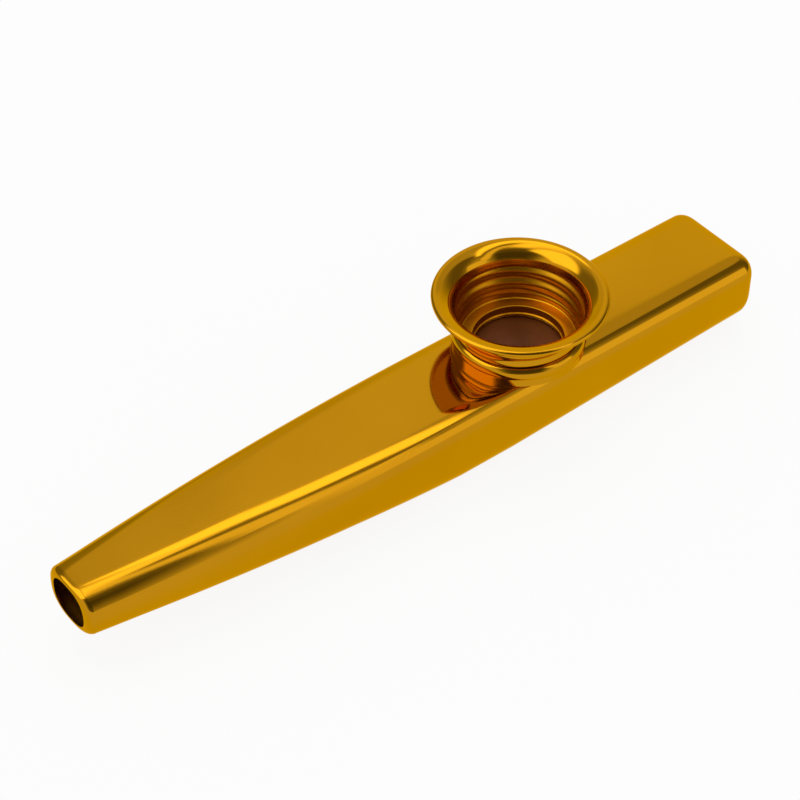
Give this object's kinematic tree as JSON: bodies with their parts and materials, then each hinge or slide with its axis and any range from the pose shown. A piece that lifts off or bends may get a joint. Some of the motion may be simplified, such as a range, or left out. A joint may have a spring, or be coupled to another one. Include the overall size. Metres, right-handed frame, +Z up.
{
  "type": "kazoo",
  "caption": "Flattened sheet-metal tube tapering to a blowing end, with a threaded turret on its flat top holding a membrane under a flared screw cap.",
  "frame": {"origin": "under the middle of the tube's length, at the lowest point of the belly", "axes": "+X along the tube toward the wide open end, +Z up through the flat top and the turret, +Y across the tube"},
  "size_m": [0.121, 0.0264, 0.0231],
  "materials": {
    "tube_metal": "polished, gold anodised",
    "socket_metal": "polished, gold anodised",
    "cap_metal": "polished, gold anodised",
    "slip_metal": "plain",
    "washer_paper": "pressed card",
    "ring_paper": "pressed card",
    "film": "thin translucent film"
  },
  "bodies": {
    "tube_body": {"tube": "tube_metal", "turret_socket": "socket_metal", "seat_washer": "washer_paper", "membrane_film": "film", "membrane_ring": "ring_paper"},
    "lift_ring": {"slip_ring": "slip_metal"},
    "cap": {"screw_cap": "cap_metal"}
  },
  "joints": [
    {"name": "cap_lift", "type": "slide", "parent": "tube_body", "child": "lift_ring", "axis": [0, 0, 1], "range_m": [0, 0.0026]},
    {"name": "cap_turn", "type": "hinge", "parent": "lift_ring", "child": "cap", "pos_m": [0.019, 0, 0.0139], "axis": [0, 0, 1], "range_deg": [0, 450]}
  ],
  "couplings": [
    {"joint": "cap_lift", "follows": "cap_turn", "m_per_rad": 0.00031831}
  ]
}
